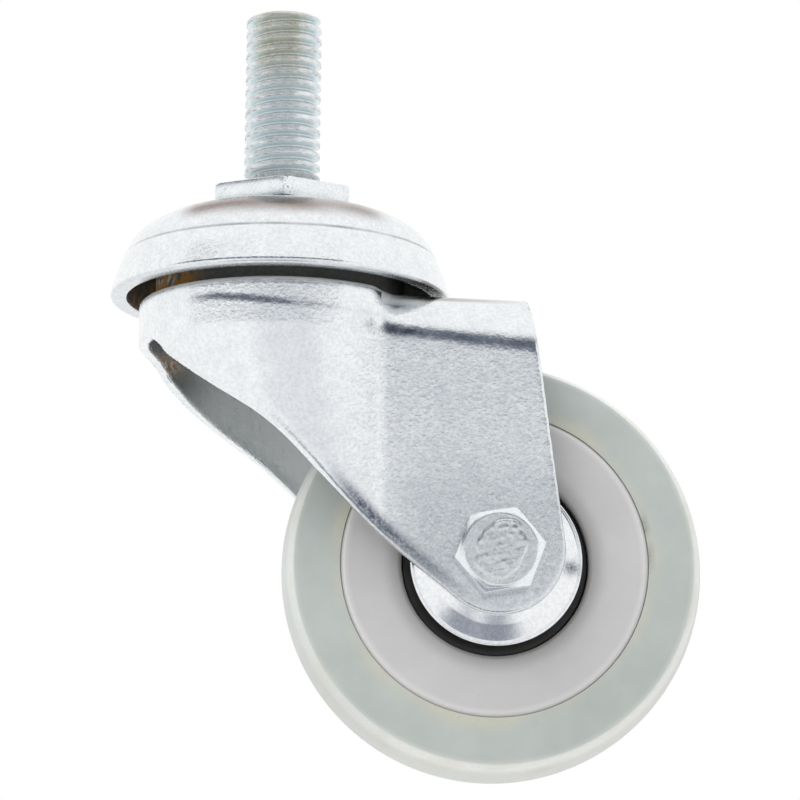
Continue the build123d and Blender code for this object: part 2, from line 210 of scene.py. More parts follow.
def turn_surface(profile, segments, axis, closed=True):
    """Surface of revolution of a profile (radius, height), about the swivel axis for axis "z", or
    about the axle, with the height along Y, for axis "y". A closed profile stays off the axis. An
    open one begins and ends on it, where a fan closes the surface."""
    turn = 2 * math.pi * np.arange(segments) / segments
    rings = profile if closed else profile[1:-1]
    r, h = rings[:, :1], rings[:, 1:]
    across, along, height = r * np.cos(turn), r * np.sin(turn), h + 0 * turn
    first, last = profile[0, 1], profile[-1, 1]
    if axis == "z":
        points = np.stack([across, along, height], -1).reshape(-1, 3)
        ends = [(0, 0, first), (0, 0, last)]
    else:
        points = np.stack([AXLE_X + across, height, AXLE_Z + along], -1).reshape(-1, 3)
        ends = [(AXLE_X, first, AXLE_Z), (AXLE_X, last, AXLE_Z)]
    faces = [ring_faces(len(rings), segments, closed)]
    if not closed:
        points = np.concatenate([points, ends])
        faces += end_fans(len(points) - 2, len(points) - 1, len(rings), segments)
    return outward(points, faces)


# Materials
def rgb(hex_code):
    """sRGB hex colour as linear RGBA."""
    values = [int(hex_code[i:i + 2], 16) / 255 for i in (1, 3, 5)]
    return tuple(c / 12.92 if c <= 0.04045 else ((c + 0.055) / 1.055) ** 2.4 for c in values) + (1.0,)


def add_node(tree, kind, inputs=None, **settings):
    """Adds a node. settings are its properties, and inputs maps a socket, by name or number, to a
    value or to another node's output."""
    node = tree.nodes.new(kind)
    for key, value in settings.items():
        setattr(node, key, value)
    for key, value in (inputs or {}).items():
        if isinstance(value, bpy.types.NodeSocket):
            tree.links.new(value, node.inputs[key])
        else:
            node.inputs[key].default_value = value
    return node


def new_material(name):
    """Empty material, its node tree and the point in millimetres of object space."""
    material = bpy.data.materials.new(name)
    material.use_nodes = True
    tree = material.node_tree
    tree.nodes.clear()
    point = add_node(tree, "ShaderNodeTexCoord").outputs["Object"]
    scale = add_node(tree, "ShaderNodeVectorMath", {0: point, "Scale": 1 / MM}, operation="SCALE")
    return material, tree, scale.outputs[0]


def finish_surface(tree, colour, metal, roughness, height, depth):
    """Ends a material: its shader, with a bump of depth millimetres where height isn't None."""
    inputs = {"Base Color": colour, "Metallic": metal, "Roughness": roughness}
    if height is not None:
        relief = add_node(tree, "ShaderNodeBump", {
            "Height": height, "Distance": depth * MM, "Strength": 1.0})
        inputs["Normal"] = relief.outputs[0]
    shader = add_node(tree, "ShaderNodeBsdfPrincipled", inputs)
    add_node(tree, "ShaderNodeOutputMaterial", {"Surface": shader.outputs[0]})


def coat(tree, mm, colour, roughness, metal, marks):
    """Lays marks over a surface, each where its attribute is high and broken up by a 0.4 mm grain.
    A mark is (attribute, colour, strength, roughness added, metal taken away, least share), where
    the least share is what the grain leaves of it."""
    for name, tint, strength, rougher, duller, least in marks:
        mark = add_node(tree, "ShaderNodeAttribute", attribute_name=name).outputs["Fac"]
        grain = add_node(tree, "ShaderNodeTexNoise", {
            "Vector": mm, "Scale": 1 / 0.4, "Detail": 3.0, "Roughness": 0.8}).outputs["Fac"]
        share = add_node(tree, "ShaderNodeMapRange", {
            "Value": grain, "From Min": 0.3, "From Max": 0.6, "To Min": least, "To Max": 1.0}).outputs[0]
        broken = add_node(tree, "ShaderNodeMath", {0: mark, 1: share}, operation="MULTIPLY").outputs[0]
        amount = add_node(tree, "ShaderNodeMath", {0: broken, 1: strength}, operation="MULTIPLY").outputs[0]
        colour = add_node(tree, "ShaderNodeMix", {
            "Factor": amount, 6: colour, 7: rgb(tint)}, data_type="RGBA").outputs[2]
        roughness = add_node(tree, "ShaderNodeMath", {
            0: amount, 1: rougher, 2: roughness}, operation="MULTIPLY_ADD").outputs[0]
        if duller:
            metal = add_node(tree, "ShaderNodeMath", {
                0: amount, 1: -duller, 2: metal}, operation="MULTIPLY_ADD").outputs[0]
    return colour, roughness, metal


def specks(tree, mm, colour, size, level, everywhere, tint):
    """Small dark specks of size millimetres: few and faint on the whole surface, by the share
    everywhere, and many where the attribute speck is high. A higher level leaves fewer."""
    grain = add_node(tree, "ShaderNodeTexNoise", {
        "Vector": mm, "Scale": 1 / size, "Detail": 2.0, "Roughness": 0.8}).outputs["Fac"]
    few = add_node(tree, "ShaderNodeMapRange", {
        "Value": grain, "From Min": level, "From Max": level + 0.06}).outputs[0]
    many = add_node(tree, "ShaderNodeMapRange", {
        "Value": grain, "From Min": level - 0.14, "From Max": level - 0.06}).outputs[0]
    mark = add_node(tree, "ShaderNodeAttribute", attribute_name="speck").outputs["Fac"]
    faint = add_node(tree, "ShaderNodeMath", {0: few, 1: everywhere}, operation="MULTIPLY").outputs[0]
    strong = add_node(tree, "ShaderNodeMath", {0: many, 1: mark}, operation="MULTIPLY").outputs[0]
    amount = add_node(tree, "ShaderNodeMath", {0: faint, 1: strong}, operation="MAXIMUM").outputs[0]
    return add_node(tree, "ShaderNodeMix", {
        "Factor": amount, 6: colour, 7: rgb(tint)}, data_type="RGBA").outputs[2]


def zinc_plate(name, light, dark, grain, depth, gloss, marks):
    """Bright zinc plate, with clouds of 2.2 mm and a grain in the tone and in the relief. depth is
    that of the relief in millimetres, and gloss the range of the roughness. The crystals of the plate
    are too fine to show, so the grain is drawn coarser, at the size given."""
    material, tree, mm = new_material(name)
    cloud = add_node(tree, "ShaderNodeTexNoise", {
        "Vector": mm, "Scale": 1 / 2.2, "Detail": 5.0, "Roughness": 0.7}).outputs["Fac"]
    fine = add_node(tree, "ShaderNodeTexNoise", {
        "Vector": mm, "Scale": 1 / grain, "Detail": 3.0, "Roughness": 0.65}).outputs["Fac"]
    patches = add_node(tree, "ShaderNodeTexNoise", {
        "Vector": mm, "Scale": 1 / 0.8, "Detail": 3.0, "Roughness": 0.6}).outputs["Fac"]
    some_cloud = add_node(tree, "ShaderNodeMath", {0: cloud, 1: 0.4}, operation="MULTIPLY").outputs[0]
    tone = add_node(tree, "ShaderNodeMath", {
        0: fine, 1: 0.6, 2: some_cloud}, operation="MULTIPLY_ADD").outputs[0]
    share = add_node(tree, "ShaderNodeMapRange", {
        "Value": tone, "From Min": 0.36, "From Max": 0.62}).outputs[0]
    colour = add_node(tree, "ShaderNodeMix", {
        "Factor": share, 6: rgb(dark), 7: rgb(light)}, data_type="RGBA").outputs[2]
    roughness = add_node(tree, "ShaderNodeMapRange", {
        "Value": patches, "From Min": 0.3, "From Max": 0.7,
        "To Min": gloss[0], "To Max": gloss[1]}).outputs[0]
    colour, roughness, metal = coat(tree, mm, colour, roughness, 1.0, marks)
    colour = specks(tree, mm, colour, 0.35, 0.72, 0.35, "#5A5652")
    height = add_node(tree, "ShaderNodeMath", {
        0: cloud, 1: 0.7, 2: fine}, operation="MULTIPLY_ADD").outputs[0]
    finish_surface(tree, colour, metal, roughness, height, depth)
    return material


def two_tone(name, colour, second, size, metal, gloss, depth, marks=(), speckled=0.0):
    """Surface of two close tones in clouds of size millimetres, with the same clouds as a relief of
    depth millimetres. gloss is the range of the roughness, which changes over 0.4 of that size. What
    the tool left on the surface is too fine to show, so these patterns are drawn coarser."""
    material, tree, mm = new_material(name)
    cloud = add_node(tree, "ShaderNodeTexNoise", {
        "Vector": mm, "Scale": 1 / size, "Detail": 4.0, "Roughness": 0.6}).outputs["Fac"]
    patches = add_node(tree, "ShaderNodeTexNoise", {
        "Vector": mm, "Scale": 1 / (size * 0.4), "Detail": 3.0, "Roughness": 0.5}).outputs["Fac"]
    share = add_node(tree, "ShaderNodeMapRange", {
        "Value": cloud, "From Min": 0.35, "From Max": 0.65}).outputs[0]
    tone = add_node(tree, "ShaderNodeMix", {
        "Factor": share, 6: rgb(colour), 7: rgb(second)}, data_type="RGBA").outputs[2]
    roughness = add_node(tree, "ShaderNodeMapRange", {
        "Value": patches, "From Min": 0.3, "From Max": 0.7,
        "To Min": gloss[0], "To Max": gloss[1]}).outputs[0]
    tone, roughness, metal = coat(tree, mm, tone, roughness, metal, marks)
    if speckled:
        tone = specks(tree, mm, tone, 0.5, 0.74, speckled, "#4A453E")
    finish_surface(tree, tone, metal, roughness, cloud, depth)
    return material


# Steel turned on a lathe and then zinc plated. The plate follows the even cut, so it looks a little
# dull and bluish in the grooves, and soiled in places. The yellow mark is a painted highlight, and the dark
# mark also paints shade in the thread's grooves and shadow lines along its crests.
TURNED_ZINC = zinc_plate(
    "bright zinc plate on turned steel", light="#F4F7F8", dark="#E0E5E8", grain=0.25, depth=0.008,
    gloss=(0.2, 0.34), marks=[
        ("blue", "#E6F1F4", 0.9, 0.1, 0.25, 0.9),
        # painted highlight: a yellowish sheen
        ("tint", "#C0AF78", 0.7, 0.05, 0, 0.4),
        # soiling, and painted shade in the grooves with painted shadow lines at the crests
        ("dirt", "#54564F", 0.8, 0.2, 0.3, 0.45),
    ])

# Sheet rolled cold, pressed and then zinc plated. The rolled face stays glossy and mirrors the room,
# the bent parts are grainy, and grease lies on it. Dark blue-grey lines are painted reflections, the
# dark grey-green marks are painted shade with some real soiling, and the pale matt marks are painted light.
PRESSED_ZINC = zinc_plate(
    "bright zinc plate on pressed sheet", light="#F2F4F5", dark="#DDE1E4", grain=0.45, depth=0.03,
    gloss=(0.1, 0.2), marks=[
        # painted reflection: dark blue-grey lines where the metal mirrors dark things
        ("reflection_streak", "#38435A", 1.0, 0.1, 0, 0.5),
        ("grain", "#B4BABE", 0.8, 0.3, 0, 0.4),
        # painted light: pale matt zinc where the metal is made to look lit
        ("inside", "#E6EAEC", 1.0, 0.4, 1.0, 0.8),
        # a brown tint on the dome, and a painted reflection as a brown line on the plate's bend
        ("tint", "#7A675D", 1.0, 0.0, 0, 0.85),
        # painted shade with some real soiling: dark grey-green in hollows and under the cover
        ("dirt", "#34362E", 1.0, 0.2, 1.0, 0.95),
        ("grease", "#B07A22", 1.0, 0.2, 1.0, 0.8),
    ])

# Thin sheet smoothed by its press tool and plated: smooth and close to a mirror, with one painted dark
# reflection.
GUARD_PLATE = two_tone(
    "polished bright plate", "#F3F4F5", "#E4E7EA", size=0.5, metal=1.0, gloss=(0.15, 0.24), depth=0.006,
    marks=[("stain_and_reflection", "#4C5160", 0.95, 0.1, 0, 0.4)])

# Hardened steel, ground and polished: an even mirror.
BALL_STEEL = two_tone(
    "polished bearing steel", "#D6D7D8", "#C2C3C4", size=1.2, metal=1.0, gloss=(0.06, 0.14), depth=0.002)

# Drawn tube and pressed races under a film of oil: greyer and duller than the plate.
RACE_STEEL = two_tone(
    "oiled drawn steel", "#B4B3AE", "#9A9890", size=1.6, metal=1.0, gloss=(0.22, 0.38), depth=0.006)

# Moulded in a smooth tool, with a slight gloss: nearly black, so that mostly its edges show.
BLACK_PLASTIC = two_tone(
    "moulded black plastic", "#15130F", "#201E1B", size=1.5, metal=0.0, gloss=(0.35, 0.5), depth=0.01)

# Moulded in a smooth tool: a warm grey satin face, darker by the hub, with a painted highlight on its edge.
CORE_PLASTIC = two_tone(
    "moulded warm grey plastic", "#CAC8C8", "#C5C3C3", size=6.0, metal=0.0, gloss=(0.38, 0.5),
    depth=0.006, speckled=0.8, marks=[
        ("shade", "#7F7E7C", 0.8, 0.0, 0, 0.9),
        ("edge", "#E4E3E2", 0.7, 0.0, 0, 0.6),
    ])

# Moulded rubber: matt and slightly green, with a paler tread, cream stains, a painted cream highlight round
# the core and a soiled joint.
TYRE_RUBBER = two_tone(
    "grey-green moulded rubber", "#BBC1BD", "#B4BAB6", size=5.0, metal=0.0, gloss=(0.45, 0.6),
    depth=0.02, speckled=0.4, marks=[
        ("tread", "#EFEFEC", 1.0, 0.1, 0, 0.8),
        ("stain_and_reflection", "#CDC9B4", 0.7, 0.0, 0, 0.5),
        ("dirt", "#57513F", 0.8, 0.1, 0, 0.2),
    ])


# Stem
def thread_surface():
    """Right-hand thread. The radius at height z and angle a is the crest less the depth of the
    thread times a softened trapezoid of the phase z / pitch - a / turn. Crests take 0.3 of the pitch
    and roots 0.14. The thread is cut by a chamfer at the end and runs out into an undercut at the foot."""
    segments = 132
    crest_share, flank_share = 0.30, 0.56
    z = np.concatenate([np.linspace(0.0, THREAD_LENGTH - 0.9, 300),
                        np.linspace(THREAD_LENGTH - 0.87, THREAD_LENGTH, 22)])
    height, angle = np.meshgrid(z, 2 * math.pi * np.arange(segments) / segments, indexing="ij")
    phase = (height / PITCH - angle / (2 * math.pi) + 0.28) % 1.0
    away = np.abs(phase - 0.5) * 2
    depth = np.clip((away - crest_share) / flank_share, 0, 1)
    depth = smooth(0, 1, depth) * 0.35 + depth * 0.65
    chamfer = CREST - 0.28 + (THREAD_LENGTH - height) * 0.9
    undercut = 4.05 + np.clip(height - 1.0, 0, 2) * 0.9
    r = np.minimum(np.minimum(CREST - (CREST - ROOT) * depth, chamfer), undercut)
    points = np.stack([r * np.cos(angle), r * np.sin(angle), height], -1).reshape(-1, 3)
    points = np.concatenate([points, [(0, 0, 0), (0, 0, THREAD_LENGTH)]])
    faces = [ring_faces(len(z), segments)] + end_fans(len(points) - 2, len(points) - 1, len(z), segments)
    deep = np.append(depth, [0, 0])
    upper_flank = np.append(phase > 0.5, [False, False])
    middle = smooth(4.2, 1.5, np.abs(points[:, 0] + 0.4))
    # Painted highlight: a yellowish sheen on the upper thread, in the middle of its width as seen from the
    # front.
    tint = smooth(11, 19, points[:, 2]) * (0.7 + 0.3 * waves(points, 6, 3)) * middle * 0.75
    # Painted shadow lines along the edges of the crests, and painted shade deep in the grooves and on one
    # flank.
    crest_shadow_lines = bell(deep - 0.05, 0.05) * (0.85 + 0.4 * waves(points, 1.5, 9))
    groove = smooth(0.3, 0.9, deep) * upper_flank * 0.38 + smooth(0.7, 1.0, deep) * 0.2
    neck = smooth(2.6, 1.6, points[:, 2]) * 0.35
    marks = {
        "tint": np.clip(tint, 0, 1),
        "dirt": np.clip(crest_shadow_lines + groove + neck, 0, 1),
        "speck": 0.15 * smooth(0.3, 0.1, deep),
        "blue": smooth(0.05, 0.3, deep),
    }
    return *outward(points, faces), marks


def hexagon_head(across_flats, low, high, rim, inner, corner_angle, place, face_shape=None):
    """Hexagonal prism from height low to high with softened edges. A 30 degree cone that starts at
    the radius rim cuts its top, and the flat face inside it is meshed in rings down to the radius
    inner. face_shape adds a height to the flat face by radius and angle, and place turns
    (x, y, height) into CAD points."""
    corner = across_flats / math.sqrt(3)
    turns = np.radians(corner_angle + 60 * np.arange(6))
    corners = [(corner * math.cos(turn), corner * math.sin(turn), 0.35) for turn in turns]
    outline = refine(rounded(corners, steps=4), corner / 14)
    rho = np.hypot(outline[:, 0], outline[:, 1])
    unit = outline / rho[:, None]
    slope = math.tan(math.radians(30))
    soft = 0.12
    edge_top = high - np.maximum(rho - rim, 0) * slope
    rings = [(outline * 0.98, low + 0 * rho), (outline, low + soft + 0 * rho)]
    for t in np.linspace(0, math.pi / 2, 5):
        r = rho - soft * (1 - math.cos(t))
        rings.append((unit * r[:, None], edge_top - soft * (1 - math.sin(t))))
    start = np.minimum(rho - soft, rim)
    for t in (0.5, 1.0):
        r = (rho - soft) * (1 - t) + start * t
        rings.append((unit * r[:, None], high - np.maximum(r - rim, 0) * slope))
    for radius in np.linspace(rim - soft, max(inner, soft), 44):
        r = np.minimum(start, radius)
        rings.append((unit * r[:, None], high + 0 * rho))
    points = np.concatenate([np.column_stack([ring, height]) for ring, height in rings])
    if face_shape is not None:
        radius, angle = np.hypot(points[:, 0], points[:, 1]), np.arctan2(points[:, 1], points[:, 0])
        points[:, 2] += face_shape(radius, angle) * (points[:, 2] > high - 0.02)
    points = np.concatenate([points, [(0, 0, low), (0, 0, points[-1, 2])]])
    fans = end_fans(len(points) - 2, len(points) - 1, len(rings), len(rho))
    return outward(place(points), [ring_faces(len(rings), len(rho))] + fans)


def upright(p):
    """Collar points (x, y, height), which are CAD points already."""
    return p


points, faces, marks = thread_surface()
make_piece("stem_thread", points, faces, "head", "stem", TURNED_ZINC, marks)

points, faces = hexagon_head(
    COLLAR_ACROSS_FLATS, low=-COLLAR_HEIGHT, high=0.0, rim=9.3, inner=3.9, corner_angle=89.3, place=upright)
middle_specks = 0.15 + 0.85 * bell(points[:, 0] - 0.4, 0.9)
marks = {"speck": middle_specks + 0.7 * bell(points[:, 0] + 7.3, 0.5)}
make_piece("stem_collar", points, faces, "head", None, TURNED_ZINC, marks)

kingpin = rounded([(0, -2.2, 0), (4.95, -2.2, 0), (4.95, -15.8, 0), (7.2, -15.8, 0.2), (7.2, -16.4, 0.4),
                   (6.0, -17.75, 0.8), (0, -17.75, 0)], closed=False)
points, faces = turn_surface(refine(kingpin, 0.8, False), 96, "z", False)
marks = {"dirt": np.full(len(points), 0.2)}
make_piece("stem_kingpin", points, faces, "head", None, TURNED_ZINC, marks)


# Head cover
def cover_surface():
    """Pressed dome, turned about the swivel axis: a flat under the collar, a slope, a tight corner, a
    small ledge, a flared wall and a rounded lip, with the inside one sheet thickness in."""
    top = COVER_TOP
    upper = curve([(4.95, top), (7.5, top), (10.5, top - 0.5), (13.0, top - 1.1), (15.0, top - 1.8),
                   (16.8, top - 2.75), (18.2, top - 3.9), (19.0, top - 5.0), (19.45, top - 6.15)], 10)
    lower = curve([(19.62, top - 6.35), (20.3, top - 8.0), (20.85, top - 9.7), (21.25, top - 11.0)], 8)
    lip = curve([(21.25, top - 11.0), (21.22, top - 11.35), (20.95, top - 11.6), (20.5, top - 11.65),
                 (19.6, top - 11.65), (19.3, top - 11.58), (19.2, top - 11.3)], 4)[1:]
    inside = curve([(19.15, top - 10.9), (18.3, top - 7.6), (17.4, top - 5.2), (15.5, top - 3.4),
                    (12.5, top - 2.5), (7.5, top - 1.55), (4.95, top - 1.55)], 8)
    points, faces = turn_surface(refine(np.concatenate([upper, lower, lip, inside]), 0.5), 256, "z")
    x, y, z = points.T
    r = np.hypot(x, y)
    front, left = -y / r, -x / r
    below = top - z - np.interp(r, upper[:, 0], top - upper[:, 1])
    inner_lip = (z < top - 10.9) * smooth(19.26, 19.18, r)
    hidden = np.maximum(inner_lip, (r < 19.2) * smooth(0.9, 1.3, below))
    light_side = smooth(0.3, 0.75, front)
    ledge = bell(z - (top - 6.28), 0.13) * (r > 19.2)
    crust = hidden * smooth(-15.5, -17.0, x) * smooth(-0.4, 0.3, waves(points, 0.9, 19)) * 0.8
    dome = smooth(top - 1.1, top - 1.8, z) * smooth(top - 5.3, top - 3.1, z)
    dome_front = smooth(0.2, 0.9, front) * smooth(14.0, 10.5, np.abs(x)) * (1 - hidden)
    greasy = smooth(0.5, 0.75, left) * smooth(-0.2, 1.2, waves(points, 2, 17) + 0.2) * 0.7
    # A darker line along the ledge.
    ledge_line = ledge * (0.75 + 0.25 * waves(points, 5, 13))
    marks = {
        "tint": np.clip(dome * dome_front * (0.8 + 0.2 * waves(points, 7, 11)), 0, 1),
        # Painted shade: the inside of the cover is near black on its far side and fades out towards its
        # near side.
        "dirt": np.clip(hidden * (0.96 - 0.92 * light_side) + ledge_line, 0, 1),
        "grease": np.clip(hidden * greasy, 0, 1),
        "grain": smooth(top - 11.1, top - 11.5, z) * (r > 19.27) * 0.5,
        # Painted light: the near side of the inside is pale and matt, as is the crust on the left.
        "inside": np.clip(hidden * light_side + crust, 0, 1),
    }
    return points, faces, marks


points, faces, marks = cover_surface()
make_piece("head_cover_dome", points, faces, "head", "head_cover", PRESSED_ZINC, marks)


# Fork
def round_max(a, b, radius):
    """Distance to the meeting of two half spaces, with the edge between them rounded to radius."""
    u, v = a + radius, b + radius
    return np.hypot(np.maximum(u, 0), np.maximum(v, 0)) + np.minimum(np.maximum(u, v), 0) - radius


def soft_min(a, b, width):
    """Smaller of two distances, blended over width."""
    h = np.clip(0.5 + 0.5 * (b - a) / width, 0, 1)
    return b * (1 - h) + a * h - width * h * (1 - h)


def side_outline():
    """Side outline of the fork (x, z): back edge, curved lower edge, round tip about the axle and
    leaning front edge, closed above and behind the sheet."""
    tip = np.array((AXLE_X + 0.15, AXLE_Z + 0.8))
    arc = np.radians(np.linspace(230, 368.5, 40))
    round_tip = tip + TIP_RADIUS * np.column_stack([np.cos(arc), np.sin(arc)])
    low = curve([(-17.65, -20.15), (-16.3, -20.6), (-15.2, -21.7), (-14.3, -23.0), (-12.8, -24.4),
                 (-10.8, -26.1), (-8.4, -27.9), (-6.0, -29.5), (-3.4, -31.2), (-0.8, -33.2),
                 (1.8, -35.5), (4.4, -38.1), (7.3, -41.1), (12.2, -45.75), round_tip[0]], 6)
    rest = np.array([(30.6, -15.3), (30.6, 5.0), (-22.0, 5.0), (-22.0, -20.1)])
    return np.concatenate([low, round_tip[1:], rest])


def outline_distance(outline, x, z):
    """Signed distance of (x, z) to a closed outline, negative inside: the least distance to its
    sides, with the sign from how many of them a line along X crosses."""
    p = np.stack([np.ravel(x), np.ravel(z)], -1)
    best = np.full(len(p), 1e9)
    inside = np.zeros(len(p), bool)
    for a, b in zip(outline, np.roll(outline, -1, 0)):
        ab = b - a
        ap = p - a
        t = np.clip((ap @ ab) / (ab @ ab), 0, 1)
        best = np.minimum(best, ((ap - t[:, None] * ab) ** 2).sum(1))
        crosses = (a[1] > p[:, 1]) != (b[1] > p[:, 1])
        if ab[1] != 0:
            inside ^= crosses & (p[:, 0] < a[0] + (p[:, 1] - a[1]) / ab[1] * ab[0])
    distance = np.sqrt(best)
    return np.where(inside, -distance, distance).reshape(np.shape(x))


CELL = 0.1
TABLE_X = np.arange(-24.0, 38.0, CELL)
TABLE_Z = np.arange(-58.0, -7.0, CELL)
TABLE = outline_distance(side_outline(), *np.meshgrid(TABLE_X, TABLE_Z, indexing="ij"))


def crown_circle(z):
    """Centre and radius of the round crown wall at height z: it narrows and moves forward below
    the skirt."""
    skirt, fall, forward, last_radius = -20.7, 25.0, 4.6, 15.2
    t = np.clip((skirt - z) / fall, 0, 1)
    return forward * t, CROWN_RADIUS * (1 - t) + last_radius * t


def side_distance(x, y, z):
    """Distance to the side outline, from the table by weights between its four nearest entries.
    Behind the swivel axis the cut runs square through the sheet, so x is first moved out along the
    radius on to the outer wall."""
    centre, radius = crown_circle(z)
    away = np.maximum(np.hypot(x - centre, y), 1e-6)
    moved = np.where(x < centre, centre + (x - centre) * radius / away, x)
    i = np.clip((moved - TABLE_X[0]) / CELL, 0, len(TABLE_X) - 1.001)
    k = np.clip((z - TABLE_Z[0]) / CELL, 0, len(TABLE_Z) - 1.001)
    i0, k0 = i.astype(int), k.astype(int)
    wi, wk = i - i0, k - k0
    low = TABLE[i0, k0] * (1 - wi) + TABLE[i0 + 1, k0] * wi
    high = TABLE[i0, k0 + 1] * (1 - wi) + TABLE[i0 + 1, k0 + 1] * wi
    return low * (1 - wk) + high * wk


def joggle_height(x):
    """Height of the shallow step that runs round the crown and falls towards the front."""
    return np.interp(x, [-8.2, -2.6, 2.0, 7.0, 11.4, 13.0], [-17.07, -17.78, -18.2, -18.3, -18.5, -18.8])


def envelope(x, y, z, inset, roll):
    """Distance to the solid that fills the fork out to its face: round crown, raised drum,
    converging walls and front channel, inset for the inside of the sheet. roll draws the legs in
    along their rear edge."""
    centre, radius = crown_circle(z)
    joggle = (0.02 + 0.05 * smooth(3.0, -2.0, x)) * smooth(-12.5, -8.0, x)
    above = z - joggle_height(x)
    wall = np.hypot(x - centre, y) - radius + inset + roll + joggle * smooth(-0.35, 0.35, above)
    crown = round_max(wall, z - CROWN_TOP + inset, max(0.7 - inset, 0.3))
    crown = round_max(crown, x - CROWN_FRONT + inset, 1.6 - 0.7 * inset)
    leg = np.abs(y) - LEG_FACE + inset + roll
    bend = BEND_RADIUS + BEND_GROWTH * np.maximum(x - 12.8, 0)
    channel = np.maximum(round_max(leg, z - PLATE_TOP + inset, bend - inset), 6.0 - x)
    walls = round_max(round_max(wall, z + 17.5 + inset, 1.5), x - 12.6 + inset, 1.5)
    body = soft_min(np.minimum(crown, walls), channel, 2.6)
    drum = round_max(np.hypot(x, y) - DRUM_RADIUS + inset, z - DRUM_TOP + inset, max(0.9 - inset, 0.3))
    return np.minimum(body, np.maximum(drum, -20.7 - z))


def fork_distance(x, y, z):
    """Signed distance to the fork: the outer envelope less the inner one, cut to the side outline
    with rounded edges, with the kingpin hole, the ball tracks and the axle holes."""
    side = side_distance(x, y, z)
    rear_edge = smooth(24.0, 18.0, x) * smooth(-24.0, -30.0, z)
    roll = 0.45 * np.clip((side + 1.9) / 1.9, 0, 1.2) ** 2 * rear_edge
    outer = round_max(envelope(x, y, z, 0.0, roll), side, 0.4)
    inner = round_max(-envelope(x, y, z, SHEET, roll), side, 0.35)
    distance = np.maximum(outer, inner)
    r = np.hypot(x, y)
    distance = np.maximum(distance, np.where(z > -13.7, 5.7 - r, -9))
    for track, height, groove in (UPPER_TRACK, LOWER_TRACK):
        distance = np.maximum(distance, groove - np.hypot(r - track, z - height))
    return np.maximum(distance, 3.1 - np.hypot(x - AXLE_X, z - AXLE_Z))


def shifted(shape, corner):
    """Part of a grid of corners that holds the given corner of each cell."""
    return tuple(slice(c, n + c) for c, n in zip(corner, shape))


def net_surface(distance, low, high, step):
    """Quad mesh of the zero surface of a distance on a grid: one point in each cell that the
    surface crosses, at the mean of its edge crossings, and one quad for each edge that it crosses."""
    axes = [np.arange(a, b + step, step) for a, b in zip(low, high)]
    d = distance(*np.meshgrid(*axes, indexing="ij")).astype(np.float32)
    solid = d < 0
    shape = np.array(d.shape) - 1
    total = np.zeros((*shape, 3), np.float32)
    count = np.zeros(shape, np.int32)
    for axis in range(3):
        others = [a for a in range(3) if a != axis]
        for u, v in ((0, 0), (0, 1), (1, 0), (1, 1)):
            first = [0, 0, 0]
            first[others[0]], first[others[1]] = u, v
            second = list(first)
            second[axis] = 1
            a, b = d[shifted(shape, first)], d[shifted(shape, second)]
            cross = (a < 0) != (b < 0)
            t = np.where(cross, a / np.where(a == b, 1, a - b), 0)
            for c in range(3):
                total[..., c] += np.where(cross, first[c] + (t if c == axis else 0), 0)
            count += cross
    live = count > 0
    number = np.full(shape, -1, np.int64)
    number[live] = np.arange(live.sum())
    points = np.array(low) + (np.argwhere(live) + total[live] / count[live][:, None]) * step
    quads = []
    for axis in range(3):
        u, v = (axis + 1) % 3, (axis + 2) % 3
        length = np.array(solid.shape)
        length[axis] -= 1
        ahead = np.zeros(3, int)
        ahead[axis] = 1
        here, there = solid[shifted(length, (0, 0, 0))], solid[shifted(length, ahead)]
        edge = np.argwhere(here != there)
        within = (edge[:, u] > 0) & (edge[:, v] > 0) & (edge[:, u] < shape[u]) & (edge[:, v] < shape[v])
        edge = edge[within]
        du, dv = np.zeros(3, int), np.zeros(3, int)
        du[u], dv[v] = 1, 1
        around = [edge - du - dv, edge - dv, edge, edge - du]
        quad = np.stack([number[tuple(cell.T)] for cell in around], -1)
        flip = ~here[tuple(edge.T)]
        quad[flip] = quad[flip][:, ::-1]
        quads.append(quad)
    return points, np.concatenate(quads)


def fork_surface():
    """Fork mesh: a net over the distance of the fork, then drawn on to the exact surface along the
    slope of that distance."""
    points, quads = net_surface(
        fork_distance, low=(-18.55, -18.5, -56.3), high=(36.0, 18.5, -8.7), step=0.38)
    e = 0.02
    for _ in range(4):
        x, y, z = points.T
        f = fork_distance(x, y, z)
        rise = [fork_distance(x + e, y, z), fork_distance(x, y + e, z), fork_distance(x, y, z + e)]
        slope = (np.stack(rise, -1) - f[:, None]) / e
        move = -f[:, None] * slope / np.maximum((slope * slope).sum(1), 0.3)[:, None]
        points = points + np.clip(move, -0.3, 0.3)
    return points, quads


